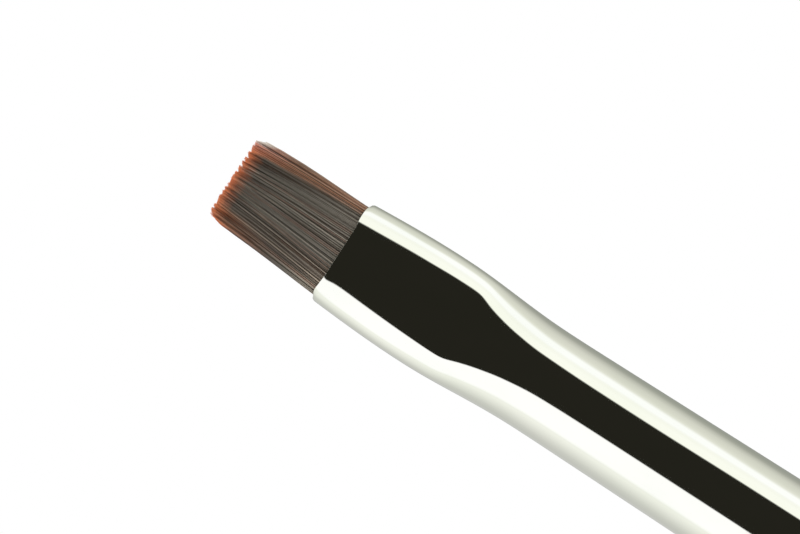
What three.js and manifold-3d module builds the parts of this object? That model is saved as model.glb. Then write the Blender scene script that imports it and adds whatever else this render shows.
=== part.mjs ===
// Nail art brush: a flat tuft of synthetic hair in a pressed nickel ferrule on a turned wooden handle.
// Millimetres. +Z runs along the brush towards the hair tip and the pressed flats face -Y and +Y.
// The origin lies on the axis at the handle's belly, where the fingers hold the brush.
import * as THREE from "three";
import { mergeVertices } from "three/addons/utils/BufferGeometryUtils.js";
import Module from "manifold-3d";

const wasm = await Module();
wasm.setup();

// Ferrule: a slightly conical tube, pressed flat at the mouth
const FERRULE_LENGTH = 36;
const FERRULE_WALL = 0.2;
const MOUTH_WIDTH = 6.1;
const WIDEST_WIDTH = 6.6;
const WIDEST_SETBACK = 5.8;
const FLAT_THICKNESS = 3.8;
const FLAT_LENGTH = 7.75;
const RAMP_LENGTH = 5.2;
const NECK_DIAMETER = 5.94;
const REAR_DIAMETER = 6.4;
const LIP_LENGTH = 0.5;
const LIP_ROLL = 0.08;

// Crimps that lock the ferrule on the handle's tenon
const CRIMP_COUNT = 2;
const CRIMP_DEPTH = 0.22;
const CRIMP_WIDTH = 1.1;
const CRIMP_PITCH = 1.9;
const CRIMP_SETBACK_FROM_REAR = 1.8;

// Hair outside the ferrule
const HAIR_LENGTH = 7.15;
const HAIR_TIP_WIDTH = 5;
const HAIR_TIP_THICKNESS = 1.2;
const HAIR_PITCH = 0.21;
const HAIR_DIAMETER = 0.13;
const HAIR_TIP_DIAMETER = 0.05;
const HAIR_LENGTH_SPREAD = 0.16;
const HAIR_MIDDLE_SHARE = 0.55;
const HAIR_MIDDLE_LEAN_SHARE = 0.4;
const HAIR_WANDER = 0.02;
const HAIR_SLICE = 0.5;
const HAIR_CLEARANCE = 0.08;
const HAIR_BEND_DEGREES = 25;

// Hair roots, their tie and the resin behind them
const ROOT_LENGTH = 5.4;
const ROOT_CLEARANCE = 0.1;
const ROOT_GAP = 0.3;
const TIE_SETBACK = 3;
const TIE_WIDTH = 1.2;
const TIE_THICKNESS = 0.3;
const RESIN_LENGTH = 4;

// Handle
const HANDLE_LENGTH = 130;
const TENON_LENGTH = 15;
const TENON_CHAMFER = 0.5;
const SHOULDER_STEP = 0.1;
const SHOULDER_CHAMFER = 0.3;
const BELLY_DIAMETER = 7.4;
const BELLY_SETBACK = 24;
const TAIL_DIAMETER = 3.8;
const BUTT_ROUND = 0.9;

// Fits and facets
const FIT = 0.05;
const GLUE_FILM = 0.15;
const SIDES = 36;
const RAMP_STEPS = 6;
const HANDLE_STEPS = 16;
const ROUND_STEPS = 4;
const HAIR_SIDES = 3;

// A set-back is a distance behind the ferrule's mouth, measured towards the butt.
const MOUTH_Z = FERRULE_LENGTH + BELLY_SETBACK;
const NECK_SETBACK = FLAT_LENGTH + RAMP_LENGTH;
const FLAT_RADIUS = FLAT_THICKNESS / 2;
const NECK_RADIUS = NECK_DIAMETER / 2;
const REAR_RADIUS = REAR_DIAMETER / 2;

const mix = (a, b, t) => a + (b - a) * t;
const easeBoth = (t) => (1 - Math.cos(Math.PI * t)) / 2;

// How far the ferrule's mouth is rolled inwards at a set-back.
function lipRoll(setback) {
  const left = Math.max(0, 1 - setback / LIP_LENGTH);
  return LIP_ROLL * left * left;
}

// Set-backs of the crimps' centres.
const crimpCentres = Array.from(
  { length: CRIMP_COUNT },
  (_, i) => FERRULE_LENGTH - CRIMP_SETBACK_FROM_REAR - i * CRIMP_PITCH,
);

// How far the crimps press the tube inwards at a set-back.
function crimpDepth(setback) {
  const depths = crimpCentres.map((centre) => {
    const away = Math.min(1, Math.abs(setback - centre) / (CRIMP_WIDTH / 2));
    return CRIMP_DEPTH * Math.cos((away * Math.PI) / 2) ** 2;
  });
  return Math.max(0, ...depths);
}

// Half the ferrule's outer width, across its flats' long side.
function ferruleHalfWidth(setback) {
  if (setback <= WIDEST_SETBACK) {
    const rise = Math.sin(((setback / WIDEST_SETBACK) * Math.PI) / 2);
    return mix(MOUTH_WIDTH, WIDEST_WIDTH, rise) / 2;
  }
  if (setback < NECK_SETBACK) {
    const fall = easeBoth((setback - WIDEST_SETBACK) / (NECK_SETBACK - WIDEST_SETBACK));
    return mix(WIDEST_WIDTH, NECK_DIAMETER, fall) / 2;
  }
  return coneRadius(setback);
}

// Radius of the round, slightly conical part behind the neck.
function coneRadius(setback) {
  return mix(NECK_RADIUS, REAR_RADIUS, (setback - NECK_SETBACK) / (FERRULE_LENGTH - NECK_SETBACK));
}

// Half the ferrule's outer thickness: level along the flat, then a ramp that eases into the neck.
function ferruleHalfThickness(setback) {
  if (setback <= FLAT_LENGTH) return FLAT_RADIUS;
  if (setback < NECK_SETBACK) {
    const left = 1 - (setback - FLAT_LENGTH) / RAMP_LENGTH;
    return mix(NECK_RADIUS, FLAT_RADIUS, left * left);
  }
  return coneRadius(setback);
}

// One closed outline across the brush: a circle whose two halves are pulled apart by twice halfFlat.
function outline(halfFlat, radius, setback) {
  return Array.from({ length: SIDES }, (_, i) => {
    const angle = ((i + 0.5) / SIDES) * 2 * Math.PI;
    const x = Math.sign(Math.cos(angle)) * halfFlat + radius * Math.cos(angle);
    return new THREE.Vector3(x, radius * Math.sin(angle), MOUTH_Z - setback);
  });
}

// The ferrule's outline at a set-back, taken in by an inset all round.
function ferruleOutline(setback, inset) {
  const radius = ferruleHalfThickness(setback);
  const halfFlat = ferruleHalfWidth(setback) - radius;
  return outline(halfFlat, radius - lipRoll(setback) - crimpDepth(setback) - inset, setback);
}

// Set-backs where the ferrule's outline changes, so that nested pieces share its facets.
const ferruleStations = [
  ...[0, 0.25, 0.55, 1].map((share) => share * LIP_LENGTH),
  ...[0.4, 0.7, 1].map((share) => share * WIDEST_SETBACK),
  FLAT_LENGTH,
  ...Array.from({ length: RAMP_STEPS }, (_, i) => FLAT_LENGTH + (RAMP_LENGTH * (i + 1)) / RAMP_STEPS),
  ...crimpCentres.flatMap((centre) => [-0.5, -0.18, 0.18, 0.5].map((share) => centre + share * CRIMP_WIDTH)),
  FERRULE_LENGTH,
];

// The stations from one set-back to another, both ends included, in order.
function stationsBetween(from, to) {
  const inside = ferruleStations.filter((setback) => setback > from && setback < to);
  return [...new Set([from, ...inside, to])].sort((a, b) => a - b);
}

// A closed solid through a row of outlines. A ring joins its last outline to its first,
// and any other solid is capped at both ends.
function loft(outlines, isRing = false) {
  const points = outlines.flat();
  const index = [];
  const bands = isRing ? outlines.length : outlines.length - 1;
  for (let band = 0; band < bands; band++) {
    const here = band * SIDES;
    const next = ((band + 1) % outlines.length) * SIDES;
    for (let i = 0; i < SIDES; i++) {
      const j = (i + 1) % SIDES;
      index.push(here + i, next + i, next + j, here + i, next + j, here + j);
    }
  }
  if (!isRing) {
    const last = (outlines.length - 1) * SIDES;
    for (let i = 1; i < SIDES - 1; i++) {
      index.push(0, i, i + 1);
      index.push(last, last + i + 1, last + i);
    }
  }
  return new THREE.BufferGeometry().setFromPoints(points).setIndex(index);
}

// The ferrule's outlines from one set-back to another, all taken in by an inset.
function nestedOutlines(from, to, inset) {
  return stationsBetween(from, to).map((setback) => ferruleOutline(setback, inset));
}

// A tube that follows the ferrule, from an outer inset to an inner one.
function sleeve(from, to, outerInset, innerInset) {
  const outer = nestedOutlines(from, to, outerInset);
  const inner = nestedOutlines(from, to, innerInset).reverse();
  return loft([...outer, ...inner], true);
}

// Half sizes of the mouth's opening, and of the hair that swings in it without touching the lip.
const MOUTH_OPENING_RADIUS = FLAT_RADIUS - LIP_ROLL - FERRULE_WALL;
const MOUTH_OPENING_HALF_WIDTH = MOUTH_WIDTH / 2 - LIP_ROLL - FERRULE_WALL;
const BEND_COSINE = Math.cos(THREE.MathUtils.degToRad(HAIR_BEND_DEGREES));
const HAIR_HALF_WIDTH = MOUTH_OPENING_HALF_WIDTH - HAIR_CLEARANCE;
const HAIR_HALF_THICKNESS = MOUTH_OPENING_RADIUS * BEND_COSINE - HAIR_CLEARANCE;
const HAIR_HALF_FLAT = HAIR_HALF_WIDTH - HAIR_HALF_THICKNESS;

// Where the roots, the tie and the resin lie behind the mouth.
const ROOT_FRONT = HAIR_HALF_THICKNESS + ROOT_GAP;
const ROOT_REAR = ROOT_FRONT + ROOT_LENGTH;
const TIE_FRONT = ROOT_FRONT + TIE_SETBACK;
const TIE_REAR = TIE_FRONT + TIE_WIDTH;
const ROOT_INSET = FERRULE_WALL + ROOT_CLEARANCE;
const WAIST_INSET = ROOT_INSET + TIE_THICKNESS;
const RESIN_FRONT = ROOT_REAR + FIT;
const GLUE_INSET = FERRULE_WALL + FIT;
const TENON_INSET = GLUE_INSET + GLUE_FILM + FIT;

function ferrule() {
  return sleeve(0, FERRULE_LENGTH, 0, FERRULE_WALL);
}

// Roots with a waist where the tie is bound round them.
function hairRoot() {
  return loft([
    ...nestedOutlines(ROOT_FRONT, TIE_FRONT - FIT, ROOT_INSET),
    ...nestedOutlines(TIE_FRONT - FIT, TIE_REAR + FIT, WAIST_INSET),
    ...nestedOutlines(TIE_REAR + FIT, ROOT_REAR, ROOT_INSET),
  ]);
}

function tuftTie() {
  return sleeve(TIE_FRONT, TIE_REAR, ROOT_INSET, WAIST_INSET - FIT);
}

function rootResin() {
  return loft(nestedOutlines(RESIN_FRONT, RESIN_FRONT + RESIN_LENGTH, GLUE_INSET));
}

function tenonGlue() {
  const front = FERRULE_LENGTH - TENON_LENGTH + TENON_CHAMFER;
  return sleeve(front, FERRULE_LENGTH, GLUE_INSET, GLUE_INSET + GLUE_FILM);
}

// Radius of the handle's body at a distance behind its shoulder.
function handleRadius(distance) {
  const shoulder = REAR_RADIUS + SHOULDER_STEP;
  const belly = BELLY_DIAMETER / 2;
  if (distance < BELLY_SETBACK) return mix(shoulder, belly, easeBoth(distance / BELLY_SETBACK));
  const share = (distance - BELLY_SETBACK) / (HANDLE_LENGTH - BELLY_SETBACK);
  return mix(belly, TAIL_DIAMETER / 2, easeBoth(share));
}

// Turned handle: tenon, chamfered shoulder, belly, slim tail and rounded butt.
function handle() {
  const shoulderSetback = FERRULE_LENGTH + FIT;
  const tenonFront = FERRULE_LENGTH - TENON_LENGTH;
  const tenon = [
    ferruleOutline(tenonFront, TENON_INSET + TENON_CHAMFER),
    ...nestedOutlines(tenonFront + TENON_CHAMFER, FERRULE_LENGTH, TENON_INSET),
  ];
  const round = (distance, radius) => outline(0, radius, shoulderSetback + distance);
  const bodyEnd = HANDLE_LENGTH - BUTT_ROUND;
  const body = Array.from({ length: HANDLE_STEPS + 1 }, (_, i) => {
    const distance = mix(SHOULDER_CHAMFER, bodyEnd, i / HANDLE_STEPS);
    return round(distance, handleRadius(distance));
  });
  const butt = Array.from({ length: ROUND_STEPS }, (_, i) => {
    const turn = (((i + 1) / ROUND_STEPS) * Math.PI) / 2;
    const inset = BUTT_ROUND * (1 - Math.cos(turn));
    return round(bodyEnd + BUTT_ROUND * Math.sin(turn), handleRadius(bodyEnd) - inset);
  });
  return loft([
    ...tenon,
    round(0, REAR_RADIUS - TENON_INSET),
    round(0, handleRadius(0) - SHOULDER_CHAMFER),
    ...body,
    ...butt,
  ]);
}

// A seeded source of even numbers from 0 to 1, so that the hairs lie the same way each time.
function evenNumbers(seed) {
  let state = seed;
  return () => {
    state = (Math.imul(state, 1664525) + 1013904223) >>> 0;
    return state / 2 ** 32;
  };
}

// Places of the hairs' middles in the mouth, in staggered rows inside the tuft's outline. Each hair
// wanders a little from its row, is turned about itself and ends at its own height.
function hairPlaces(random) {
  const places = [];
  const wander = () => (2 * random() - 1) * HAIR_WANDER;
  const margin = HAIR_DIAMETER / 2 + HAIR_WANDER + HAIR_CLEARANCE / 2;
  const reach = HAIR_HALF_THICKNESS - margin;
  const rowPitch = (HAIR_PITCH * Math.sqrt(3)) / 2;
  const rows = Math.floor(reach / rowPitch);
  for (let row = -rows; row <= rows; row++) {
    const y = row * rowPitch;
    const halfRow = HAIR_HALF_FLAT + Math.sqrt(reach * reach - y * y);
    const shift = row % 2 ? HAIR_PITCH / 2 : 0;
    const columns = Math.ceil(halfRow / HAIR_PITCH);
    for (let column = -columns; column <= columns; column++) {
      const x = column * HAIR_PITCH + shift;
      if (Math.abs(x) > halfRow) continue;
      const turn = random() * 2 * Math.PI;
      places.push({ x: x + wander(), y: y + wander(), turn, tipSetback: random() * HAIR_LENGTH_SPREAD });
    }
  }
  return places;
}

// One three-sided hair that leans in towards the chisel tip and tapers, as a closed solid.
function hair(place) {
  const bury = HAIR_SLICE / 2;
  const widthShare = HAIR_TIP_WIDTH / 2 / HAIR_HALF_WIDTH;
  const thicknessShare = HAIR_TIP_THICKNESS / 2 / HAIR_HALF_THICKNESS;
  const stage = (lean, height, diameter) => ({
    x: place.x * mix(1, widthShare, lean),
    y: place.y * mix(1, thicknessShare, lean),
    z: MOUTH_Z + height,
    radius: diameter / 2,
  });
  const tipHeight = HAIR_LENGTH - place.tipSetback;
  const stages = [
    stage(0, -bury, HAIR_DIAMETER),
    stage(HAIR_MIDDLE_LEAN_SHARE, tipHeight * HAIR_MIDDLE_SHARE, HAIR_DIAMETER),
    stage(1, tipHeight, HAIR_TIP_DIAMETER),
  ];
  const points = stages.flatMap(({ x, y, z, radius }) =>
    Array.from({ length: HAIR_SIDES }, (_, i) => {
      const angle = place.turn + (i / HAIR_SIDES) * 2 * Math.PI;
      return new THREE.Vector3(x + radius * Math.cos(angle), y + radius * Math.sin(angle), z);
    }),
  );
  const index = [0, 2, 1];
  for (let band = 0; band < stages.length - 1; band++) {
    for (let i = 0; i < HAIR_SIDES; i++) {
      const a = band * HAIR_SIDES + i;
      const b = band * HAIR_SIDES + ((i + 1) % HAIR_SIDES);
      index.push(a, b, b + HAIR_SIDES, a, b + HAIR_SIDES, a + HAIR_SIDES);
    }
  }
  const top = points.length - HAIR_SIDES;
  index.push(top, top + 1, top + 2);
  return new THREE.BufferGeometry().setFromPoints(points).setIndex(index);
}

// A closed geometry as a solid that can be joined.
function toSolid(geometry) {
  const merged = mergeVertices(geometry);
  return new wasm.Manifold(
    new wasm.Mesh({
      numProp: 3,
      vertProperties: new Float32Array(merged.attributes.position.array),
      triVerts: new Uint32Array(merged.index.array),
    }),
  );
}

// A joined solid as a geometry.
function toGeometry(solid) {
  const mesh = solid.getMesh();
  return new THREE.BufferGeometry()
    .setAttribute("position", new THREE.BufferAttribute(mesh.vertProperties, mesh.numProp))
    .setIndex(new THREE.BufferAttribute(mesh.triVerts, 1));
}

// Hair outside the ferrule, on the slice of resin that holds it in the mouth. The slice is
// narrowed below, so that it stays inside its own swing circle when the hair bends.
function hairTuft() {
  const lowerRadius = Math.sqrt(HAIR_HALF_THICKNESS ** 2 - HAIR_SLICE ** 2);
  const slice = loft([
    outline(HAIR_HALF_FLAT, HAIR_HALF_THICKNESS, 0),
    outline(HAIR_HALF_FLAT, lowerRadius, HAIR_SLICE),
  ]);
  const joined = hairPlaces(evenNumbers(7)).reduce(
    (solid, place) => solid.add(toSolid(hair(place))),
    toSolid(slice),
  );
  return toGeometry(joined);
}

const finishes = {
  hair: { color: 0x5a4a40, roughness: 0.45, metalness: 0 },
  thread: { color: 0xd8d2c4, roughness: 0.9, metalness: 0 },
  resin: { color: 0xc9a45c, roughness: 0.3, metalness: 0 },
  nickel: { color: 0xdfe0d8, roughness: 0.08, metalness: 1 },
  lacquer: { color: 0x17120f, roughness: 0.15, metalness: 0 },
};

function piece(name, geometry, finish) {
  const mesh = new THREE.Mesh(geometry, new THREE.MeshStandardMaterial(finishes[finish]));
  mesh.name = name;
  return mesh;
}

const brush = new THREE.Group();
const head = new THREE.Group();
head.add(piece("ferrule", ferrule(), "nickel"));
head.add(piece("hair_root", hairRoot(), "hair"));
head.add(piece("tuft_tie", tuftTie(), "thread"));
head.add(piece("root_resin", rootResin(), "resin"));
const tuft = new THREE.Group();
tuft.add(piece("hair_tuft", hairTuft(), "hair"));
const grip = new THREE.Group();
grip.add(piece("handle", handle(), "lacquer"));
grip.add(piece("tenon_glue", tenonGlue(), "resin"));
brush.add(head, tuft, grip);

export default brush;
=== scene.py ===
"""Looks of a flat nail art brush: hair, nickel ferrule, turned handle, and the studio round them."""

import logging
import math
from collections.abc import Sequence
from dataclasses import dataclass, field
from enum import Enum

import bpy
import numpy as np
from bpy.types import Material, Node, NodeSocket, Object, World
from mathutils import Matrix, Vector


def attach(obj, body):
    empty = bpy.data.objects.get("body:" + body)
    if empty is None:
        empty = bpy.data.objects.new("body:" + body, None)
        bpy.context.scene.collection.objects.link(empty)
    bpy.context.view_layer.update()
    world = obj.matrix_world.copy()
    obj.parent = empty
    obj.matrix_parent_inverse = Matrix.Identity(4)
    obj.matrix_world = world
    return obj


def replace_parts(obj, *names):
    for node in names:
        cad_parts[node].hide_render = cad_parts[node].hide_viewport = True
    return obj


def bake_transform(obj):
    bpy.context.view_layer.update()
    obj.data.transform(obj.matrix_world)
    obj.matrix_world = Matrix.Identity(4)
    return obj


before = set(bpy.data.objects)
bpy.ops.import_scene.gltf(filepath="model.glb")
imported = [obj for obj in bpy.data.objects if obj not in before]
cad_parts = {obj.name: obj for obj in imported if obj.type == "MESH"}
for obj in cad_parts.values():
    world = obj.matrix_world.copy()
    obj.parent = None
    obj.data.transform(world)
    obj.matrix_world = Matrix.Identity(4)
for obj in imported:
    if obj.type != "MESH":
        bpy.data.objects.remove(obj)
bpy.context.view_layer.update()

log = logging.getLogger("brush")

MM = 0.001
Colour = tuple[float, float, float]
Triple = tuple[float, float, float]
Range = tuple[float, float]
Numbers = tuple[float, ...]
Palette = tuple[Colour, ...]
Array = np.ndarray
Socket = NodeSocket


class Body(Enum):
    """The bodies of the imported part."""

    BRUSH = "brush"
    TUFT = "tuft"


class Slot(Enum):
    """The record's material slots."""

    NICKEL = "nickel"
    HAIR = "hair"
    THREAD = "thread"
    RESIN = "resin"
    WOOD = "lacquered_wood"


def start_clean() -> None:
    """Leaves edit mode and deselects every object, so that an operator acts on the new piece alone."""
    if bpy.context.object and bpy.context.object.mode != "OBJECT":
        bpy.ops.object.mode_set(mode="OBJECT")
    bpy.ops.object.select_all(action="DESELECT")


def ease(share: float) -> float:
    """Eases a share from 0 to 1 at both ends."""
    return (1 - math.cos(math.pi * share)) / 2


def run(ends: Range, share: float | Array) -> float | Array:
    """Runs evenly from the first end to the second, by a share from 0 to 1."""
    return ends[0] + (ends[1] - ends[0]) * share


@dataclass(frozen=True)
class Rise:
    """A smooth rise from 0 at low to 1 at high."""

    low: float
    high: float

    def at(self, value: Array) -> Array:
        """The height of the rise at each value."""
        share = np.clip((value - self.low) / (self.high - self.low), 0, 1)
        return share * share * (3 - 2 * share)


class NodeSheet:
    """The nodes of a material or a world, with short calls that add a node and join two sockets."""

    def __init__(self, owner: Material | World, output: str) -> None:
        """Clears the nodes of a material or world, apart from a new output of the type named."""
        owner.use_nodes = True
        self.tree = owner.node_tree
        self.tree.nodes.clear()
        self.output = self.add(output)

    def add(self, kind: str, settings: dict | None = None, **values) -> Node:
        """Adds a node and gives it.

        Args:
            kind: The node's type, without its ShaderNode prefix.
            settings: The node's own properties.
            **values: Values of its input sockets, with underscores for spaces.
        """
        node = self.tree.nodes.new("ShaderNode" + kind)
        for key, value in (settings or {}).items():
            setattr(node, key, value)
        for key, value in values.items():
            node.inputs[key.replace("_", " ")].default_value = value
        return node

    def join(self, source: Socket, target: Socket) -> None:
        """Joins an output socket to an input socket."""
        self.tree.links.new(source, target)

    def millimetres(self, stretch: Triple = (1, 1, 1)) -> Socket:
        """Gives the piece's own coordinates in millimetres, times a factor for each axis."""
        place = self.add("TexCoord")
        scale = self.add("Mapping", Scale=tuple(s / MM for s in stretch))
        self.join(place.outputs["Object"], scale.inputs["Vector"])
        return scale.outputs["Vector"]

    def noise(self, stretch: Triple = (1, 1, 1), **values) -> Socket:
        """Gives a noise from 0 to 1 over the piece's own coordinates, stretched like them."""
        node = self.add("TexNoise", **values)
        self.join(self.millimetres(stretch), node.inputs["Vector"])
        return node.outputs["Fac"]

    def most(self, sources: Sequence[Socket]) -> Socket:
        """Gives the largest of several values."""
        largest = sources[0]
        for source in sources[1:]:
            node = self.add("Math", {"operation": "MAXIMUM"})
            self.join(largest, node.inputs[0])
            self.join(source, node.inputs[1])
            largest = node.outputs["Value"]
        return largest

    def ramp(self, source: Socket, stops: Sequence[tuple[float, Colour]]) -> Socket:
        """Turns a value into a colour, by places from 0 to 1, in order, and their colours."""
        node = self.add("ValToRGB")
        stop_list = node.color_ramp.elements
        while len(stop_list) < len(stops):
            stop_list.new(0.5)
        for stop, (place, colour) in zip(stop_list, stops):
            stop.position = place
            stop.color = (*colour, 1)
        self.join(source, node.inputs["Fac"])
        return node.outputs["Color"]

    def between(self, source: Socket, low: float, high: float) -> Socket:
        """Spreads a value from 0 to 1 over another range."""
        node = self.add("MapRange", To_Min=low, To_Max=high)
        self.join(source, node.inputs["Value"])
        return node.outputs["Result"]

    def bump(self, source: Socket, strength: float, depth: float) -> Socket:
        """Turns a height into a bumped normal, with the depth in millimetres."""
        node = self.add("Bump", Strength=strength, Distance=depth * MM)
        self.join(source, node.inputs["Height"])
        return node.outputs["Normal"]


class ShaderSheet(NodeSheet):
    """The nodes of a new material."""

    def __init__(self, name: str) -> None:
        """Starts a material with nothing but its output."""
        self.material = bpy.data.materials.new(name)
        super().__init__(self.material, "OutputMaterial")

    def done(self, shader: Socket) -> Material:
        """Joins a shader to the output and gives the finished material."""
        self.join(shader, self.output.inputs["Surface"])
        return self.material


@dataclass(frozen=True)
class NickelPlate:
    """Mirror-polished nickel plate, with faint polishing lines round it and a little dulling."""

    pale: Colour = (0.90, 0.915, 0.815)
    warm: Colour = (0.87, 0.895, 0.785)
    smooth: float = 0.03
    dull: float = 0.07

    def material(self) -> Material:
        """Makes the material."""
        sheet = ShaderSheet("polished_nickel")
        metal = sheet.add("BsdfPrincipled", Metallic=1.0)
        cloud = sheet.noise((1, 1, 0.35), Scale=0.6, Detail=3.0)
        tint = sheet.ramp(cloud, [(0.35, self.warm), (0.65, self.pale)])
        sheet.join(tint, metal.inputs["Base Color"])
        sheet.join(sheet.between(cloud, self.dull, self.smooth), metal.inputs["Roughness"])
        lines = sheet.noise((0.25, 0.25, 3), Scale=9.0, Detail=4.0)
        sheet.join(sheet.bump(lines, 0.03, 0.01), metal.inputs["Normal"])
        return sheet.done(metal.outputs["BSDF"])


@dataclass(frozen=True)
class HairFilament:
    """Fine synthetic filament, whose colour, with its painted shade, painted light and painted tip glow,
    each strand carries in its own attribute.
    """

    attribute: str = "strand_colour"
    sheen_roughness: float = 0.38
    speck_dark: Colour = (0.72, 0.70, 0.68)
    speck_light: Colour = (1.0, 1.0, 1.0)

    def material(self) -> Material:
        """Makes the material."""
        sheet = ShaderSheet("brush_filament")
        strand = sheet.add("BsdfPrincipled", Roughness=self.sheen_roughness, IOR=1.5)
        colour = sheet.add("Attribute", {"attribute_name": self.attribute})
        speck = sheet.noise((4, 4, 0.5), Scale=5.0, Detail=3.0)
        shade = sheet.ramp(speck, [(0.3, self.speck_dark), (0.7, self.speck_light)])
        mixed = sheet.add("Mix", {"data_type": "RGBA", "blend_type": "MULTIPLY"}, Factor=1.0)
        sheet.join(colour.outputs["Color"], mixed.inputs["A"])
        sheet.join(shade, mixed.inputs["B"])
        sheet.join(mixed.outputs["Result"], strand.inputs["Base Color"])
        return sheet.done(strand.outputs["BSDF"])


@dataclass(frozen=True)
class LacqueredWood:
    """Dark stained wood with long grain and pores under gloss lacquer."""

    dark: Colour = (0.016, 0.008, 0.005)
    light: Colour = (0.090, 0.038, 0.019)

    def material(self) -> Material:
        """Makes the material."""
        sheet = ShaderSheet("lacquered_wood")
        wood = sheet.add(
            "BsdfPrincipled", Coat_Weight=1.0, Coat_Roughness=0.04, Coat_IOR=1.5, Specular_IOR_Level=0.15
        )
        grain = sheet.noise((1, 1, 0.05), Scale=1.1, Detail=6.0, Roughness=0.6, Distortion=0.4)
        stops = [(0.30, self.dark), (0.52, self.light), (0.58, self.dark), (0.80, self.light)]
        sheet.join(sheet.ramp(grain, stops), wood.inputs["Base Color"])
        pores = sheet.noise((2, 2, 0.08), Scale=4.0, Detail=4.0)
        sheet.join(sheet.between(pores, 0.55, 0.30), wood.inputs["Roughness"])
        sheet.join(sheet.bump(pores, 0.12, 0.02), wood.inputs["Normal"])
        return sheet.done(wood.outputs["BSDF"])


@dataclass(frozen=True)
class BindingTwist:
    """Undyed twisted thread."""

    pale: Colour = (0.72, 0.66, 0.55)
    shaded: Colour = (0.40, 0.34, 0.26)

    def material(self) -> Material:
        """Makes the material."""
        sheet = ShaderSheet("binding_twist")
        thread = sheet.add("BsdfPrincipled", Roughness=0.85)
        slant = {"bands_direction": "DIAGONAL"}
        twist = sheet.add("TexWave", slant, Scale=2.5, Distortion=1.5, Detail=2.0)
        sheet.join(sheet.millimetres(), twist.inputs["Vector"])
        tint = sheet.ramp(twist.outputs["Fac"], [(0.2, self.shaded), (0.7, self.pale)])
        sheet.join(tint, thread.inputs["Base Color"])
        sheet.join(sheet.bump(twist.outputs["Fac"], 0.5, 0.03), thread.inputs["Normal"])
        return sheet.done(thread.outputs["BSDF"])


@dataclass(frozen=True)
class AmberResin:
    """Set epoxy, amber and slightly cloudy."""

    deep: Colour = (0.36, 0.19, 0.05)
    clear: Colour = (0.62, 0.40, 0.14)

    def material(self) -> Material:
        """Makes the material."""
        sheet = ShaderSheet("amber_resin")
        resin = sheet.add("BsdfPrincipled", IOR=1.55)
        cloud = sheet.noise(Scale=0.8, Detail=3.0)
        tint = sheet.ramp(cloud, [(0.3, self.deep), (0.7, self.clear)])
        sheet.join(tint, resin.inputs["Base Color"])
        sheet.join(sheet.between(cloud, 0.12, 0.28), resin.inputs["Roughness"])
        return sheet.done(resin.outputs["BSDF"])


@dataclass(frozen=True)
class Ring:
    """One ring of a pulled tube, in millimetres: an oval whose four quarters are drawn apart.

    Attributes:
        height: Where the ring lies on the brush's axis.
        across: Half the oval's width.
        through: Half the oval's thickness.
        apart_across: How far each quarter is drawn out sideways.
        apart_through: How far each quarter is drawn out to the front or back.
    """

    height: float
    across: float
    through: float
    apart_across: float = 0.0
    apart_through: float = 0.0

    def half_width_at(self, depth: float) -> float:
        """Half the ring's width at a depth in front of or behind its middle."""
        rise = np.clip((np.abs(depth) - self.apart_through) / self.through, 0, 1)
        return self.apart_across + self.across * np.sqrt(1 - rise**2)


class Form:
    """A mesh that is shaped in edit mode."""

    def __init__(self, name: str) -> None:
        """Takes up the object that was added last, with its place in its mesh."""
        bpy.ops.object.transform_apply(location=True, rotation=True, scale=True)
        self.piece = bpy.context.object
        self.piece.name = name
        bpy.context.tool_settings.mesh_select_mode = (True, False, False)

    def places(self) -> Array:
        """Places of the form's points, in millimetres."""
        bpy.ops.object.mode_set(mode="OBJECT")
        places = np.array([point.co for point in self.piece.data.vertices]) / MM
        bpy.ops.object.mode_set(mode="EDIT")
        return places

    def shift(self, chosen: Array, step: Triple) -> None:
        """Moves the points that are chosen by a step in millimetres."""
        bpy.ops.object.mode_set(mode="OBJECT")
        mesh = self.piece.data
        mesh.polygons.foreach_set("select", np.zeros(len(mesh.polygons), bool))
        mesh.edges.foreach_set("select", np.zeros(len(mesh.edges), bool))
        mesh.vertices.foreach_set("select", chosen)
        bpy.ops.object.mode_set(mode="EDIT")
        bpy.ops.transform.translate(value=tuple(s * MM for s in step))

    def modify(self, kind: str, **settings) -> None:
        """Adds a modifier with its settings and applies it."""
        bpy.ops.object.modifier_add(type=kind)
        modifier = self.piece.modifiers[-1]
        for key, value in settings.items():
            setattr(modifier, key, value)
        bpy.ops.object.modifier_apply(modifier=modifier.name)

    def finish(self, bridged: bool = False, levels: int = 2) -> Object:
        """Closes the two open ends, smooths the form and gives the finished piece.

        Args:
            bridged: Whether the end rings are joined to each other; otherwise each is filled.
            levels: Levels of subdivision, or 0 for none.
        """
        bpy.ops.mesh.select_all(action="DESELECT")
        bpy.ops.mesh.select_non_manifold()
        if bridged:
            bpy.ops.mesh.bridge_edge_loops()
        else:
            bpy.ops.mesh.fill_holes(sides=0)
        bpy.ops.mesh.select_all(action="SELECT")
        bpy.ops.mesh.normals_make_consistent(inside=False)
        bpy.ops.object.mode_set(mode="OBJECT")
        if levels:
            self.modify("SUBSURF", levels=levels, render_levels=levels)
        bpy.ops.object.shade_smooth()
        return self.piece


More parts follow.
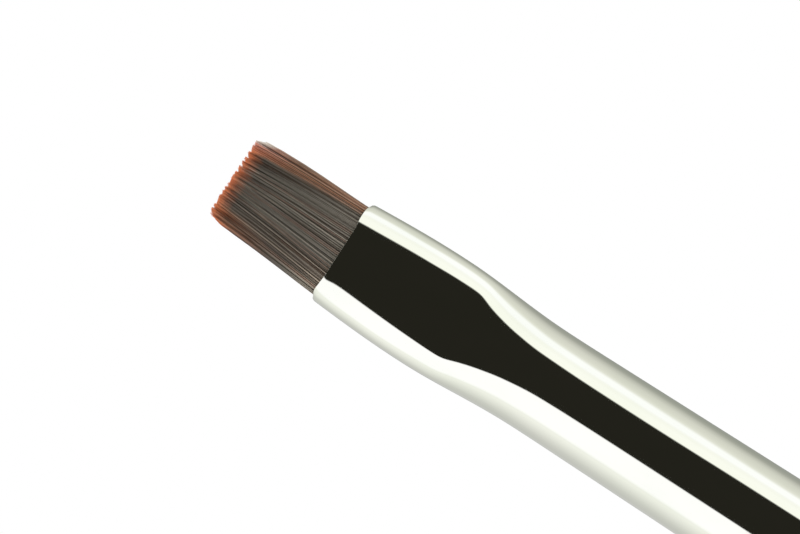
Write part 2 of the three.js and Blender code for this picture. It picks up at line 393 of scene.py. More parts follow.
class PulledTube(Form):
    """A form pulled ring by ring out of a circle in edit mode, along the brush's axis."""

    ROUND_BELOW = 1e-4

    def __init__(self, name: str, sides: int, first: Ring) -> None:
        """Adds the first circle, turned half a side so that no corner lies on a quarter's edge."""
        start_clean()
        bpy.ops.mesh.primitive_circle_add(
            vertices=sides,
            radius=first.across * MM,
            location=(0, 0, first.height * MM),
            rotation=(0, 0, math.pi / sides),
        )
        super().__init__(name)
        self.sides = sides
        self.rings = [first]
        bpy.ops.object.mode_set(mode="EDIT")
        bpy.ops.mesh.select_all(action="SELECT")

    def pull(self, rings: Sequence[Ring]) -> None:
        """Pulls the open end on through further rings."""
        for ring in rings:
            last = self.rings[-1]
            step = (0, 0, (ring.height - last.height) * MM)
            bpy.ops.mesh.extrude_region_move(TRANSFORM_OT_translate={"value": step})
            grow = (ring.across / last.across, ring.through / last.through, 1)
            bpy.ops.transform.resize(value=grow, center_override=(0, 0, ring.height * MM))
            self.rings.append(ring)

    def draw_apart(self) -> None:
        """Draws the quarters of each pressed ring apart, which gives it flats on all four sides."""
        places = self.places()
        ring_of = np.arange(len(places)) // self.sides
        for number, ring in enumerate(self.rings):
            if ring.apart_across < self.ROUND_BELOW:
                continue
            for side, face in ((1, 1), (1, -1), (-1, 1), (-1, -1)):
                quarter = (ring_of == number) & (places[:, 0] * side > 0) & (places[:, 1] * face > 0)
                self.shift(quarter, (side * ring.apart_across, face * ring.apart_through, 0))


def dress(piece: Object, material: Material) -> None:
    """Gives a piece its one material."""
    piece.data.materials.clear()
    piece.data.materials.append(material)


@dataclass(frozen=True)
class Lean:
    """A slight lean of the ferrule's front, as the pliers leave it. Millimetres.

    Attributes:
        ranges: The set-backs between which it leans, once for each range.
        across: Where the part that leans starts and ends across the front.
        step: How far it leans to its lower side each time.
    """

    ranges: tuple[Range, ...]
    across: Range
    step: float


@dataclass
class Ferrule:
    """The nickel tube, pressed flat at its mouth and round behind, with two crimps at its rear.

    Lengths are in millimetres, and a set-back is a distance behind the mouth.

    Attributes:
        lobe_across: Half the width of the sides' oval, at the mouth and at the crease.
        rim_depths: How deep the rim is moved; like each reach and range below, one step for each.
        recess_reaches: How far in from its sides the rim is drawn back.
        bulge_ranges: Where across the mouth the rim is drawn out.
        lean_reaches: How far out from the middle a lean goes.
        leans: At the lip, on the flat, about the crease and on the cone.
    """

    mouth: float = 60.0
    length: float = 36.0
    wall: float = 0.2
    mouth_width: float = 6.1
    widest_width: float = 6.6
    widest_setback: float = 5.8
    slim_setback: float = 12.9
    lobe_across: Range = (2.43, 1.98)
    lobe_through: float = 1.6
    side_flat: float = 0.3
    flat_length: float = 7.75
    ramp_length: float = 6.4
    ramp_fade: float = 2.15
    crease_round: float = 0.75
    neck_diameter: float = 5.94
    rear_diameter: float = 6.4
    lip_length: float = 0.25
    lip_roll: float = 0.05
    crimp_setbacks: Range = (32.3, 34.2)
    crimp_width: float = 1.1
    crimp_depth: float = 0.22

    lip_rings: Numbers = (0.0, 0.006, 0.03, 0.12)
    flat_start: float = 0.6
    flat_pitch: float = 0.9
    ramp_pitch: float = 0.7
    cone_pitch: float = 2.5
    crimp_rings: Numbers = (-0.6, -0.4, -0.2, 0, 0.2, 0.4, 0.6)
    rear_rings: Numbers = (0.4, 0.06, 0.0)
    rim_depths: Range = (0.05, 0.2)
    recess_step: float = 0.0175
    recess_reaches: Numbers = (0.26, 0.18, 0.11, 0.05)
    bulge_step: float = 0.02
    bulge_ranges: tuple[Range, ...] = ((1.6, 2.7), (1.9, 2.6), (-2.7, -1.9), (-2.6, -2.2))
    lean_reaches: Numbers = (2.0, 2.3, 2.6, 2.9)
    leans: tuple[Lean, ...] = (
        Lean(((-1.0, 0.35), (-1.0, 0.75)), (-3.0, -1.0), 0.015),
        Lean(((0.9, 7.0),), (0.3, 3.0), 0.00625),
        Lean(((4.2, 12.6), (5.0, 11.4), (5.8, 10.2)), (-3.0, 3.0), 0.005),
        Lean(((21.0, 31.0), (23.5, 31.0)), (0.3, 3.0), -0.00625),
    )
    sides: int = 48
    finish: NickelPlate = NickelPlate()

    @property
    def neck_setback(self) -> float:
        """Where the ramp ends and the round part starts."""
        return self.flat_length + self.ramp_length

    def round_radius(self, setback: float) -> float:
        """Radius of the tube where it isn't pressed."""
        share = max(0.0, setback - self.neck_setback) / (self.length - self.neck_setback)
        return run((self.neck_diameter, self.rear_diameter), share) / 2

    def half_width(self, setback: float) -> float:
        """Half the outer width across the flats' long side."""
        if setback <= self.widest_setback:
            rise = math.sin(setback / self.widest_setback * math.pi / 2)
            return run((self.mouth_width, self.widest_width), rise) / 2
        if setback < self.slim_setback:
            fall = ease((setback - self.widest_setback) / (self.slim_setback - self.widest_setback))
            return run((self.widest_width, self.neck_diameter), fall) / 2
        return self.round_radius(setback)

    def pressed(self, setback: float) -> float:
        """How far the tube is pressed: 1 on the flat, then a ramp that fades out along the neck."""
        return math.exp(-max(0.0, setback - self.flat_length) / self.ramp_fade)

    def drawn_in(self, setback: float) -> float:
        """How far the rolled lip and the crimps draw the tube inwards."""
        lip = self.lip_roll * max(0.0, 1 - setback / self.lip_length) ** 2
        away = min(abs(setback - centre) for centre in self.crimp_setbacks) / (self.crimp_width / 2)
        return lip + self.crimp_depth * math.cos(min(1.0, away) * math.pi / 2) ** 2

    def ring(self, setback: float, inset: float = 0.0) -> Ring:
        """The tube's outline at a set-back behind the mouth.

        Args:
            setback: How far behind the mouth.
            inset: How far the outline is taken in.

        Returns:
            The outline's ring.
        """
        pressed = self.pressed(setback)
        radius = self.round_radius(setback)
        lobe = run(self.lobe_across, min(1.0, setback / self.flat_length) ** 2)
        across = run((radius, lobe), pressed)
        through = run((radius, self.lobe_through), pressed)
        taken = self.drawn_in(setback) + inset
        apart = self.half_width(setback) - across
        return Ring(self.mouth - setback, across - taken, through - taken, apart, self.side_flat * pressed)

    def stations(self) -> list[float]:
        """Set-backs of the rings from the mouth to the rear, closer where the shape turns."""
        flat_end = self.flat_length - 1.4 * self.crease_round
        ramp_start, ramp_end = self.flat_length + 2 * self.crease_round, self.neck_setback + 1.5
        cone_start, cone_end = self.neck_setback + 3, self.crimp_setbacks[0] - 1
        crimp_steps = [step * self.crimp_width for step in self.crimp_rings]
        return [
            *self.lip_rings,
            self.lip_length,
            self.flat_start,
            *np.arange(self.flat_start + 0.5, flat_end, self.flat_pitch),
            *(self.flat_length + share * self.crease_round for share in (-1, 0, 1)),
            *np.arange(ramp_start, ramp_end, self.ramp_pitch),
            *np.arange(cone_start, cone_end, self.cone_pitch),
            *(centre + step for centre in self.crimp_setbacks for step in crimp_steps),
            *(self.length - step for step in self.rear_rings),
        ]

    def shape_rim(self, tube: PulledTube) -> None:
        """Draws the mouth's rim back a little towards its two sides, and out over its lobes."""
        places = tube.places()
        across = places[:, 0]
        for depth in self.rim_depths:
            rim = self.mouth - places[:, 2] < depth
            for reach in self.recess_reaches:
                tube.shift(rim & (np.abs(across) > self.mouth_width / 2 - reach), (0, 0, -self.recess_step))
            for low, high in self.bulge_ranges:
                tube.shift(rim & (across > low) & (across < high), (0, 0, self.bulge_step))

    def lean_front(self, tube: PulledTube, lean: Lean) -> None:
        """Leans a stretch of the front sideways, and less towards its sides."""
        places = tube.places()
        across, setback = places[:, 0], self.mouth - places[:, 2]
        front = (places[:, 1] < 0) & (across > lean.across[0]) & (across < lean.across[1])
        for start, end in lean.ranges:
            stretch = front & (setback > start) & (setback < end)
            for reach in self.lean_reaches:
                tube.shift(stretch & (np.abs(across) < reach), (-lean.step, 0, 0))

    def build(self) -> Object:
        """Pulls the tube from its inner rear edge to the mouth, over the lip and back outside."""
        inside = [self.ring(s, self.wall) for s in reversed(self.stations())]
        outside = [self.ring(s) for s in self.stations()]
        tube = PulledTube("nickel_ferrule", self.sides, inside[0])
        tube.pull(inside[1:] + outside)
        tube.draw_apart()
        self.shape_rim(tube)
        for lean in self.leans:
            self.lean_front(tube, lean)
        piece = tube.finish(bridged=True)
        dress(piece, self.finish.material())
        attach(piece, Body.BRUSH.value)
        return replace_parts(piece, "ferrule")


@dataclass
class Handle:
    """The turned handle with its tenon in the ferrule. Millimetres."""

    shoulder: float = 23.95
    length: float = 130.0
    tenon_length: float = 15.0
    tenon_radius: float = 2.42
    tenon_bevel: float = 0.4
    shoulder_radius: float = 3.3
    belly_setback: float = 24.0
    belly_radius: float = 3.7
    tail_radius: float = 1.9
    butt_round: float = 0.9
    chamfer: float = 0.3
    tenon_rings: Numbers = (6.0, 0.3, 0.0)
    front_rings: Range = (0.8, 2.0)
    body_pitch: float = 4.0
    butt_angles: Numbers = (22, 45, 68, 90)
    butt_shares: Range = (0.75, 0.3)
    sides: int = 48
    finish: LacqueredWood = LacqueredWood()

    def radius(self, distance: float) -> float:
        """Radius of the body at a distance behind the shoulder."""
        if distance < self.belly_setback:
            share = ease(distance / self.belly_setback)
            return run((self.shoulder_radius, self.belly_radius), share)
        share = ease((distance - self.belly_setback) / (self.length - self.belly_setback))
        return run((self.belly_radius, self.tail_radius), share)

    def rings(self) -> list[Ring]:
        """Rings from the tenon's front to the butt."""
        slim, bevel = self.tenon_radius, self.tenon_bevel
        edge = self.shoulder_radius - self.chamfer
        end = self.length - self.butt_round
        tail = self.radius(end)
        profile = [(-self.tenon_length, slim - bevel), (bevel - self.tenon_length, slim)]
        profile += [(-distance, slim) for distance in self.tenon_rings]
        profile += [(0.0, radius) for radius in (slim + 0.2, edge - 0.1, edge)]
        profile += [(self.chamfer / 2, edge + self.chamfer * 0.7)]
        along = [self.chamfer, *self.front_rings, *np.arange(5, self.length - 4, self.body_pitch)]
        profile += [(distance, self.radius(distance)) for distance in along]
        profile += [(end - 1.0, tail), (end, tail)]
        for angle in map(math.radians, self.butt_angles):
            inward = self.butt_round * (1 - math.cos(angle))
            profile += [(end + self.butt_round * math.sin(angle), tail - inward)]
        flat = profile[-1][1]
        profile += [(self.length, flat * share) for share in self.butt_shares]
        return [Ring(self.shoulder - distance, radius, radius) for distance, radius in profile]

    def build(self) -> Object:
        """Pulls the handle from its tenon to its butt and closes both ends."""
        rings = self.rings()
        form = PulledTube("turned_handle", self.sides, rings[0])
        form.pull(rings[1:])
        piece = form.finish()
        dress(piece, self.finish.material())
        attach(piece, Body.BRUSH.value)
        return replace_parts(piece, "handle")


@dataclass(frozen=True)
class Band:
    """A soft band of filaments along the bundle, with its ranges from the mouth to the tip.

    Attributes:
        line: Where its middle lies across.
        reach: How far it reaches from its middle.
        start: Where it sets in, as shares of the free length.
    """

    line: Range
    reach: Range
    start: Rise

    def at(self, across: Array, along: Array) -> Array:
        """The band's strength: 1 on its middle, falling to 0 at its reach."""
        off = np.abs(across - run(self.line, along)) / run(self.reach, along)
        return (1 - Rise(0, 1).at(off)) * self.start.at(along)


@dataclass(frozen=True)
class StrandPaint:
    """The filaments' colours: grey in the middle of the flat, russet at its sides, painted shade and
    painted light along them, and a bright painted glow at the tips.

    A palette has one colour for each kind of filament, the usual kind first. Places across are in
    millimetres, and places along are shares of the free length.
    """

    kind_shares: Numbers = (0.50, 0.18, 0.17, 0.15)
    grey: Palette = (
        (0.122, 0.110, 0.088), (0.060, 0.049, 0.036), (0.198, 0.176, 0.141), (0.142, 0.102, 0.076)
    )
    russet: Palette = (
        (0.295, 0.133, 0.068), (0.120, 0.061, 0.035), (0.380, 0.200, 0.116), (0.208, 0.130, 0.082)
    )
    # painted glow: the tip colours stand for light shining through the thin ends of the filaments
    tip: Palette = ((0.94, 0.29, 0.11), (0.77, 0.20, 0.07), (1.0, 0.39, 0.18), (0.71, 0.19, 0.07))
    tan: Colour = (-0.02, 0.06, 0.10)
    rim: Colour = (0.30, 0.17, 0.12)
    # how much of each colour the painted shade takes away, so that it falls warm
    shadow_tint: Colour = (1.0, 1.15, 1.28)
    bleach: Colour = (0.0, 0.40, 0.40)
    white: Colour = (1.0, 0.91, 0.80)
    contrast: Range = (0.92, 1.34)
    # painted light: up to 1.4 times brighter near the mouth, easing to plain by half the free length,
    # against the shade of the ferrule's lip
    light: Range = (1.40, 1.0)
    # painted shadow in the gap between the front of the flat and the upper russet band, deepening towards
    # the tip
    gap_shadow: Band = Band((2.27, 1.52), (0.10, 0.46), Rise(0.05, 0.45))
    gap_shadow_depth: Range = (0.15, 0.85)
    # painted shade in a band along the lower side of the flat, from a third of the free length, fading out
    # at the tip
    fold_shade: Band = Band((-2.97, -1.69), (0.12, 0.32), Rise(0.35, 0.6))
    fold_shade_depth: float = 0.62
    stray: float = 0.05
    tone_stray: float = 0.08
    painted_glow_start: float = 0.885
    painted_glow_stray: float = 0.012
    # depth of the painted shade at the partings between the tip's teeth
    parting_shade_depth: float = 0.60
    darkest: float = 0.004

    def body(self, kind: Array, side: Array, along: Array) -> Array:
        """The colours along each filament before its painted shade and painted light, by its kind and by
        how russet it is.
        """
        spread = run(self.contrast, along)
        grey, russet = (
            palette[0] + (palette[kind][:, None, :] - palette[0]) * spread
            for palette in (np.array(self.grey), np.array(self.russet))
        )
        return grey * (1 - side) + russet * side

    def shade(self, x: Array, along: Array, streak: Array) -> Array:
        """The painted light and painted shade along each filament, and its tan and rim colouring, as
        factors of its colour.
        """
        # painted light: the lower edge is lightened near the mouth, fading out by 0.6 of the free length
        pale = Rise(1.75, 2.2).at(-x - 1.7 * along) * (1 - Rise(0.0, 0.6).at(along))
        # painted light near the mouth, with the lightened lower edge on top
        light = run(self.light, Rise(-0.1, 0.5).at(along)) * (1 + 0.75 * pale)
        tan = Rise(0.9, 1.5).at(-x) * (1 - 0.8 * Rise(2.1, 2.5).at(-x)) * np.array(self.tan)
        rim = Rise(2.58, 2.76).at(x) * Rise(0.30, 0.80).at(along) * np.array(self.rim)
        # painted shade in the band along the lower side
        fold_shade = self.fold_shade_depth * self.fold_shade.at(x, along) * (1 - Rise(0.88, 1.0).at(along))
        # painted shadow in the gap, deeper on some filaments than on others
        gap_shadow = run(self.gap_shadow_depth, streak) * self.gap_shadow.at(x, along)
        # warm tint of the painted shade
        shadow_tint = np.array(self.shadow_tint)
        return light * (1 - tan) * (1 - rim) * (1 - shadow_tint * fold_shade) * (1 - shadow_tint * gap_shadow)

    def colours(self, lines: Array, shares: Array, off: Array, chance: np.random.Generator) -> Array:
        """Colours each filament along its length.

        Args:
            lines: The points of each filament's middle line.
            shares: The share of the free length at each point.
            off: Each filament's place in its tooth from -1 to 1.
            chance: The seeded source of chance.

        Returns:
            One colour for each point of each line.
        """
        one_each = (len(lines), 1, 1)
        kind = chance.choice(len(self.kind_shares), len(lines), p=self.kind_shares)
        x = lines[:, :, :1] + chance.normal(0, self.stray, one_each)
        start = self.painted_glow_start + chance.normal(0, self.painted_glow_stray, one_each)
        tone = 1 + chance.normal(0, self.tone_stray, one_each)
        streak = chance.random(one_each)

        along = shares[None, :, None]
        upper = Rise(-0.22, 0.12).at(x - run((2.30, 2.02), along)) * run((0.70, 1.0), along)
        lower = Rise(-0.10, 0.35).at(run((-2.52, -1.24), along) - x) * Rise(0.40, 0.90).at(along)
        body = self.body(kind, np.maximum(upper, lower), along) * self.shade(x, along, streak)

        # painted glow of light through the thin ends, rising over the last stretch of each filament, paler
        # and whiter at the upper corner
        start = start - 0.12 * upper[:, -1:] - 0.02 * lower[:, -1:]
        glow = np.clip((along - start) / (1 - start), 0, 1) ** 1.5
        bleach = Rise(1.85, 2.45).at(x) * np.array(self.bleach)
        end = np.array(self.tip)[kind][:, None, :] * (1 - bleach) + 0.55 * bleach
        white = Rise(2.34, 2.54).at(x) * Rise(0.85, 0.93).at(along)
        end = end * (1 - white) + np.array(self.white) * white
        # painted shade at the partings between the teeth near the tip, strongest at each tooth's sides, and
        # none on the white corner
        parting_shade = Rise(0.82, 0.93).at(along) * (1 - Rise(0.95, 1.02).at(along))
        parting_shade = self.parting_shade_depth * parting_shade * np.abs(off[:, None, None]) ** 3
        tone = tone * (1 - parting_shade * (1 - white))
        return np.clip((body * (1 - glow) + end * glow) * tone, self.darkest, 1)


@dataclass
class Tuft:
    """The flat bundle of filaments, from its roots in the ferrule to its chisel tip. Millimetres.

    Attributes:
        mouth: The inner outline of the ferrule's mouth.
        lower_room: The room that it leaves at the mouth's lower side.
        squeeze: The share of the mouth's width that it keeps.
        settle: How far it lies towards the mouth's lower side.
        root_gather: The shares of its width and thickness that it keeps at its roots.
        shift_across: How far the whole tip is moved sideways.
        bow: How far it bows sideways, most a little past half its length.
        tip_width_share: The tip's width as a share of the mouth's, in the middle layer.
        front_narrowing: How much narrower still the front and back layers are.
        lower_corner: Where the lower corner's cut starts across the tip, and how steep the cut is.
        upper_corner: The same for the upper corner.
        taper: Shares of the free length, and a filament's share of its thickness there.
        chance: The seeded source of chance.
    """

    mouth: Ring
    lower_room: float = 0.02
    squeeze: float = 0.99
    settle: float = 0.02
    wander: float = 0.9
    root_depth: float = 7.05
    root_gather: Range = (0.90, 0.80)
    length: float = 7.14
    length_slope: float = -0.012
    lower_corner: Range = (-2.03, 2.6)
    upper_corner: Range = (2.53, 2.2)
    tip_thickness_share: float = 0.40
    thinning_power: float = 1.15
    shift_across: float = 0.205
    tip_width_share: float = 0.94
    bow: float = 0.055
    bow_power: float = 1.4
    front_narrowing: float = 0.27
    pitch: float = 0.082
    thickness: float = 0.078
    thickness_stray: float = 0.08
    taper: tuple[Range, ...] = ((0, 1), (0.55, 0.97), (0.85, 0.72), (1, 0.28))
    lock_width: float = 0.40
    lock_uneven: float = 0.3
    lock_pull: float = 0.055
    lock_fade: float = 0.8
    tooth_width: float = 0.33
    tooth_uneven: float = 0.35
    tooth_depth: float = 0.24
    tooth_pull: float = 0.16
    tooth_start: Rise = Rise(0.80, 1.0)
    notches: Range = (0.35, 1.1)
    short_stray: float = 0.35
    sway: float = 0.045
    sway_power: float = 1.5
    side_edge: Rise = Rise(0.75, 1.0)
    side_hold: float = 0.55
    ring_shares: Numbers = (0.0, 0.16, 0.32, 0.48, 0.65, 0.87, 0.94, 1.0)
    bend_length: float = 6.6
    corners: int = 4
    chance: np.random.Generator = field(default_factory=lambda: np.random.default_rng(41))
    paint: StrandPaint = StrandPaint()
    finish: HairFilament = HairFilament()

    @property
    def half_thickness(self) -> float:
        """Half the bundle's thickness in the mouth."""
        return self.mouth.through + self.mouth.apart_through

    def places(self) -> Array:
        """Places of the filaments in the mouth, with one row of x and y for each."""
        row_pitch = self.pitch * math.sqrt(3) / 2
        rows = int((self.half_thickness - self.thickness / 2) / row_pitch)
        places = []
        for row in range(-rows, rows + 1):
            y = row * row_pitch
            half_row = self.mouth.half_width_at(y) - self.thickness / 2
            x = np.arange(-half_row + self.lower_room, half_row, self.pitch) + (row % 2) * self.pitch / 2
            places.append(np.column_stack([x, np.full_like(x, y)]))
        spread = np.vstack(places)
        wander = self.chance.uniform(-0.5, 0.5, spread.shape) * (self.wander * self.pitch, row_pitch)
        return (spread + wander) * (self.squeeze, 1) - (self.settle, 0)

    def gather(self, across: Array, width: float, uneven: float) -> tuple[Array, Array, Array]:
        """Gathers filaments that lie side by side into groups of uneven width.

        Args:
            across: Where each filament lies across the bundle.
            width: The groups' usual width.
            uneven: How far the groups' edges stray, as a share of the width.

        Returns:
            Each filament's group, the middle of its group, and its place in the group from -1 to 1.
        """
        count = int(np.ptp(across) / width) + 1
        room = 1e-3
        edges = np.linspace(across.min() - room, across.max() + room, count + 1)
        edges[1:-1] += self.chance.uniform(-uneven, uneven, count - 1) * width
        group = np.clip(np.searchsorted(edges, across) - 1, 0, count - 1)
        middle = (edges[group] + edges[group + 1]) / 2
        off = (across - middle) / ((edges[group + 1] - edges[group]) / 2)
        return group, middle, off

    def paths(self, places: Array) -> tuple[Array, Array, Array]:
        """Lays each filament's middle line from its place in the mouth.

        Returns:
            The points of each line, the share of the free length at each point, and each filament's
            place in its tooth at the tip from -1 to 1.
        """
        shares = np.array(self.ring_shares)
        x, y = places[:, :1], places[:, 1:]
        layer = np.abs(y) / self.half_thickness
        tip_x = self.shift_across + x * (self.tip_width_share - self.front_narrowing * layer**2)
        _, lock_middle, _ = self.gather(x[:, 0], self.lock_width, self.lock_uneven)
        tooth, middle, off = self.gather(tip_x[:, 0], self.tooth_width, self.tooth_uneven)
        notch = self.chance.uniform(*self.notches, tooth.max() + 1)[tooth]
        short = notch * (1 - off) / 2 + self.short_stray * self.chance.random(len(x)) ** 2
        reach = self.length + self.length_slope * tip_x[:, 0] - self.tooth_depth * short
        reach -= self.lower_corner[1] * np.clip(self.lower_corner[0] - tip_x[:, 0], 0, 1)
        reach -= self.upper_corner[1] * np.clip(tip_x[:, 0] - self.upper_corner[0], 0, 1)
        close = self.side_edge.at(np.abs(x) / (self.mouth.apart_across + self.mouth.across))
        sway = self.chance.normal(0, self.sway, (len(x), 2)) * (1 - self.side_hold * close)
        swing = shares**self.sway_power

        line_x = x + (tip_x - x) * shares + self.bow * np.sin(math.pi * shares**self.bow_power)
        line_x += sway[:, :1] * swing
        line_x += (lock_middle[:, None] - x) * self.lock_pull * (1 - self.lock_fade * shares)
        line_x += (middle[:, None] - line_x) * self.tooth_pull * self.tooth_start.at(shares)
        thinning = (1 - self.tip_thickness_share) * shares**self.thinning_power
        line_y = y * (1 - thinning) + sway[:, 1:] * swing
        line_z = self.mouth.height + reach[:, None] * shares
        points = np.stack([line_x, line_y, line_z], axis=2)
        root = points[:, :1] * (*self.root_gather, 1) - (0, 0, self.root_depth)
        return np.concatenate([root, points], axis=1), np.concatenate([[0], shares]), off

    def skins(self, lines: Array, shares: Array) -> Array:
        """Sets the corners of each filament's rings round its middle line."""
        one_each = (len(lines), 1, 1)
        taper = np.interp(shares, *zip(*self.taper)) * self.thickness / 2
        turn = self.chance.random(one_each) * 2 * math.pi
        angle = turn + np.arange(self.corners)[None, None, :] / self.corners * 2 * math.pi
        swell = taper[None, :, None] * (1 + self.chance.normal(0, self.thickness_stray, one_each))
        corner_x = lines[:, :, None, 0] + swell * np.cos(angle)
        corner_y = lines[:, :, None, 1] + swell * np.sin(angle)
        corner_z = np.broadcast_to(lines[:, :, None, 2], corner_x.shape)
        return np.stack([corner_x, corner_y, corner_z], axis=3)

    def filament(self, rings: int) -> Object:
        """Pulls one filament of unit size, whose rings the bundle then lays along each line."""
        form = PulledTube("filament", self.corners, Ring(0, 1, 1))
        form.pull([Ring(number, 1, 1) for number in range(1, rings)])
        return form.finish(levels=0)

    def build(self) -> Object:
        """Lays a copy of one filament along every line and joins them in one bundle."""
        lines, shares, off = self.paths(self.places())
        count, rings = lines.shape[:2]
        points = self.skins(lines, shares).reshape(-1, 3) * MM
        colours = np.repeat(self.paint.colours(lines, shares, off, self.chance), self.corners, axis=1)
        colours = np.dstack([colours, np.ones(colours.shape[:2])])

        one = self.filament(rings)
        one_faces = [list(face.vertices) for face in one.data.polygons]
        bpy.data.objects.remove(one)
        firsts = range(0, len(points), rings * self.corners)
        faces = [[first + corner for corner in face] for first in firsts for face in one_faces]

        mesh = bpy.data.meshes.new("hair")
        mesh.from_pydata(points.tolist(), [], faces)
        tint = mesh.attributes.new(self.finish.attribute, "FLOAT_COLOR", "POINT")
        tint.data.foreach_set("color", colours.astype(np.float32).ravel())
        piece = bpy.data.objects.new("hair", mesh)
        bpy.context.collection.objects.link(piece)
        start_clean()
        piece.select_set(True)
        bpy.context.view_layer.objects.active = piece
        bpy.ops.object.shade_smooth()
        dress(piece, self.finish.material())
        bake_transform(piece)
        log.info("%d filaments", count)
        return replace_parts(piece, "hair_tuft", "hair_root")


@dataclass
class Binding:
    """The thread wound round the roots inside the ferrule, turn by turn. Millimetres."""

    height: float = 54.232
    thickness: float = 0.24
    turns: int = 4
    bend_radius: float = 1.52
    apart: float = 1.19
    sides: int = 8
    steps: int = 48
    finish: BindingTwist = BindingTwist()

    def build(self) -> Object:
        """Winds the thread into a round coil and draws its two halves apart."""
        start_clean()
        turn = math.pi / self.steps
        start = (math.cos(turn) * self.bend_radius, math.sin(turn) * self.bend_radius, self.height)
        bpy.ops.mesh.primitive_circle_add(
            vertices=self.sides,
            radius=self.thickness / 2 * MM,
            location=Vector(start) * MM,
            rotation=(math.pi / 2, 0, turn),
        )
        coil = Form("wound_thread")
        steps = {"steps": self.steps, "render_steps": self.steps}
        coil.modify("SCREW", iterations=self.turns, screw_offset=self.thickness * MM, **steps)
        across = coil.places()[:, 0]
        for side in (1, -1):
            coil.shift(across * side > 0, (side * self.apart, 0, 0))
        piece = coil.finish(levels=0)
        dress(piece, self.finish.material())
        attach(piece, Body.BRUSH.value)
        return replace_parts(piece, "tuft_tie")


def dress_inner_pieces() -> None:
    """Gives the resin and the glue, which the ferrule hides, their finish."""
    resin = AmberResin().material()
    for name in ("root_resin", "tenon_glue"):
        dress(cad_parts[name], resin)


@dataclass(frozen=True)
class Card:
    """One upright card of the tent, whose light runs evenly from one edge to the other.

    Attributes:
        start: Where it starts round the brush, in degrees from straight ahead towards the right.
        end: Where it ends.
        first: Its light at the start.
        last: Its light at the end.
    """

    start: float
    end: float
    first: Colour
    last: Colour

    def stops(self) -> list[tuple[float, Colour]]:
        """The card's two edges as places round a radial gradient, whose ends meet at the brush's left."""
        ahead = 0.25
        return [(ahead + self.start / 360, self.first), (ahead + self.end / 360, self.last)]


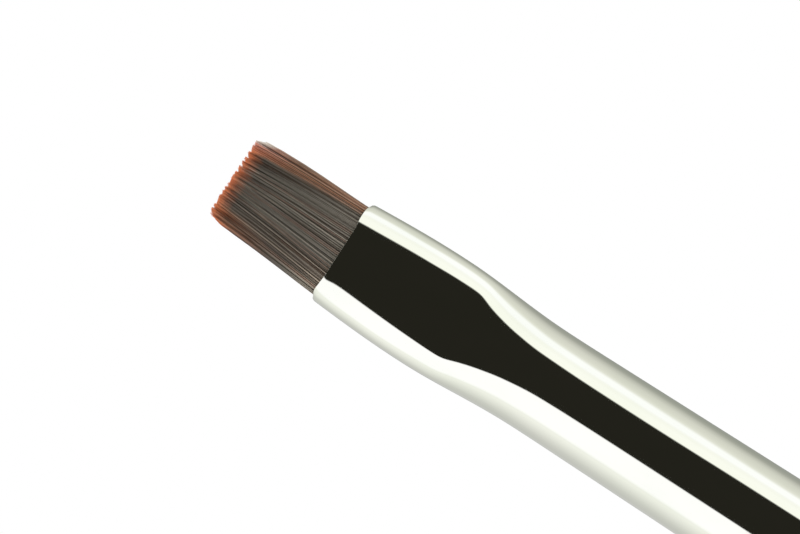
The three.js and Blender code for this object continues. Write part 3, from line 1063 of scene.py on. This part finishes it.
@dataclass
class Studio:
    """A white room, a pale floor and a tent round the brush that only its gloss sees. Millimetres."""

    floor_height: float = -106.05
    floor_radius: float = 900.0
    floor_sides: int = 96
    floor_paper: Colour = (0.92, 0.92, 0.92)
    tent_radius: float = 600.0
    tent_height: float = 6000.0
    tent_sides: int = 180
    tent_turn: float = 3.1
    lamp_aim: float = 40.0
    daylight: float = 0.62
    floor_glow: float = 0.72
    # share of the painted card reflection that the floor shows to glossy rays
    floor_painted_reflection: float = 0.95
    cards: tuple[Card, ...] = (
        Card(-90, -86, (0.95, 0.95, 0.95), (0.985, 0.985, 0.985)),
        Card(-84, -81, (0.95, 0.95, 0.95), (1.06, 1.06, 1.10)),
        Card(-76, -31.1, (1.13, 1.11, 1.20), (1.13, 1.11, 1.20)),
        Card(-30.1, 44.7, (0.0175, 0.0165, 0.0130), (0.0175, 0.0165, 0.0130)),
        Card(45.7, 60, (1.07, 1.07, 1.05), (1.07, 1.07, 1.07)),
        Card(65, 69, (1.04, 1.04, 1.03), (1.04, 1.04, 1.05)),
        Card(74, 85, (1.10, 1.10, 1.18), (1.10, 1.10, 1.17)),
        Card(92, 98, (0.85, 0.85, 0.82), (0.775, 0.775, 0.74)),
        Card(111, 124, (0.70, 0.70, 0.67), (0.555, 0.555, 0.53)),
        Card(134, 146, (0.415, 0.42, 0.395), (0.35, 0.36, 0.335)),
        Card(180, 196, (0.32, 0.33, 0.31), (0.60, 0.60, 0.60)),
        Card(220, 236, (0.595, 0.595, 0.595), (0.66, 0.66, 0.66)),
        Card(251, 269.9, (0.78, 0.78, 0.78), (0.95, 0.95, 0.95)),
    )

    def world(self) -> None:
        """Lights the room evenly, and shows it white to the camera, to gloss and to glass."""
        world = bpy.data.worlds.new("white_room")
        bpy.context.scene.world = world
        sheet = NodeSheet(world, "OutputWorld")
        path = sheet.add("LightPath").outputs
        seen = sheet.most([path["Is Camera Ray"], path["Is Glossy Ray"], path["Is Transmission Ray"]])
        room = sheet.add("Background", Color=(1, 1, 1, 1))
        sheet.join(sheet.between(seen, self.daylight, 1.0), room.inputs["Strength"])
        sheet.join(room.outputs["Background"], sheet.output.inputs["Surface"])

    def card_light(self, sheet: ShaderSheet) -> Socket:
        """The light of the cards, by the direction from the brush."""
        place = sheet.add("TexCoord")
        round_axis = sheet.add("TexGradient", {"gradient_type": "RADIAL"})
        sheet.join(place.outputs["Object"], round_axis.inputs["Vector"])
        stops = [stop for card in self.cards for stop in card.stops()]
        return sheet.ramp(round_axis.outputs["Fac"], stops)

    def floor(self) -> None:
        """Lays a pale round floor that keeps the brush's shadow, and shows glossy rays a painted reflection
        of the tent's cards.
        """
        start_clean()
        bpy.ops.mesh.primitive_circle_add(
            vertices=self.floor_sides, radius=self.floor_radius * MM, fill_type="NGON"
        )
        bpy.ops.transform.translate(value=(0, 0, self.floor_height * MM))
        bpy.ops.object.transform_apply(location=True)
        piece = bpy.context.object
        piece.name = "studio_floor"
        piece.rotation_euler.z = math.radians(-self.tent_turn)
        sheet = ShaderSheet("pale_floor")
        path = sheet.add("LightPath").outputs
        paper = sheet.add("BsdfDiffuse", Color=(*self.floor_paper, 1))
        # painted reflection: to glossy rays the floor glows with the cards' light, by direction from the
        # brush
        tint = sheet.add("Mix", {"data_type": "RGBA"}, A=(1, 1, 1, 1))
        sheet.join(sheet.between(path["Is Glossy Ray"], 0.0, self.floor_painted_reflection), tint.inputs["Factor"])
        sheet.join(self.card_light(sheet), tint.inputs["B"])
        glow = sheet.add("Emission", Strength=1.0)
        sheet.join(tint.outputs["Result"], glow.inputs["Color"])
        seen = sheet.most([path["Is Camera Ray"], path["Is Transmission Ray"]])
        share = sheet.most([sheet.between(seen, 0.0, self.floor_glow), path["Is Glossy Ray"]])
        mixed = sheet.add("MixShader")
        sheet.join(share, mixed.inputs["Fac"])
        sheet.join(paper.outputs["BSDF"], mixed.inputs[1])
        sheet.join(glow.outputs["Emission"], mixed.inputs[2])
        piece.data.materials.append(sheet.done(mixed.outputs["Shader"]))

    def tent(self) -> None:
        """Stands a tent round the brush: dark in front, white at the sides and grey behind."""
        start_clean()
        bpy.ops.mesh.primitive_cylinder_add(
            vertices=self.tent_sides,
            radius=self.tent_radius * MM,
            depth=self.tent_height * MM,
            end_fill_type="NOTHING",
        )
        piece = bpy.context.object
        piece.name = "studio_tent"
        piece.rotation_euler.z = math.radians(-self.tent_turn)
        sheet = ShaderSheet("tent_cloth")
        cloth = sheet.add("Emission", Strength=1.0)
        sheet.join(self.card_light(sheet), cloth.inputs["Color"])
        piece.data.materials.append(sheet.done(cloth.outputs["Emission"]))
        for ray in ("camera", "diffuse", "transmission", "shadow"):
            setattr(piece, "visible_" + ray, False)

    def lamp(self, name: str, place: Vector, size: float, power: float) -> None:
        """Hangs a soft lamp that faces the brush's head, with its place and size in metres."""
        start_clean()
        aim = Vector((0, 0, self.lamp_aim * MM)) - place
        turn = aim.to_track_quat("-Z", "Y").to_euler()
        bpy.ops.object.light_add(type="AREA", location=place, rotation=turn)
        lamp = bpy.context.object
        lamp.name = name
        lamp.data.size = size
        lamp.data.energy = power
        lamp.visible_glossy = False

    def build(self) -> None:
        """Sets up the room, the floor, the tent and the lamps."""
        self.world()
        self.floor()
        self.tent()
        self.lamp("lamp_right", Vector((0.55, -0.45, 0.35)), size=0.5, power=3.4)
        self.lamp("lamp_left", Vector((-0.60, -0.40, 0.30)), size=0.6, power=2.2)


@dataclass
class PhotoCamera:
    """The camera, nearly square to the ferrule's flat and rolled so that the hair points up and left."""

    lens: float = 200.0
    sensor: float = 36.0
    clip_start: float = 10.0
    picture_pixels: int = 800
    pixels_per_mm: float = 18.5
    slope_degrees: float = 32.85
    aim_across: float = 1.0
    aim_height: float = 56.85
    turn_degrees: float = 3.1

    def place(self) -> None:
        """Sets the camera up in front of the brush's head."""
        start_clean()
        bpy.ops.object.camera_add()
        camera = bpy.context.object
        camera.name = "photo_camera"
        camera.data.lens = self.lens
        camera.data.sensor_width = self.sensor
        camera.data.clip_start = self.clip_start * MM
        slope = math.radians(self.slope_degrees)
        right = Vector((math.sin(slope), 0, -math.cos(slope)))
        up = Vector((math.cos(slope), 0, math.sin(slope)))
        back = right.cross(up)
        far = self.picture_pixels / self.pixels_per_mm * MM * self.lens / self.sensor
        aim = Vector((self.aim_across * MM, 0, self.aim_height * MM))
        turned = Matrix((right, up, back)).transposed().to_4x4()
        sideways = Matrix.Rotation(math.radians(-self.turn_degrees), 4, "Z")
        camera.matrix_world = sideways @ Matrix.Translation(aim + back * far) @ turned
        bpy.context.scene.camera = camera


def main() -> None:
    """Builds the studio and each piece of the brush, and reports them."""
    logging.basicConfig(level=logging.INFO, format="%(message)s")
    bpy.context.scene.view_settings.view_transform = "Standard"
    Studio().build()
    PhotoCamera().place()
    ferrule = Ferrule()
    mouth = ferrule.ring(0.0, ferrule.wall)
    for maker in (ferrule, Handle(), Tuft(mouth), Binding()):
        piece = maker.build()
        piece.data.calc_loop_triangles()
        log.info("%s: %d triangles", piece.name, len(piece.data.loop_triangles))
    dress_inner_pieces()


if __name__ == "__main__":
    main()
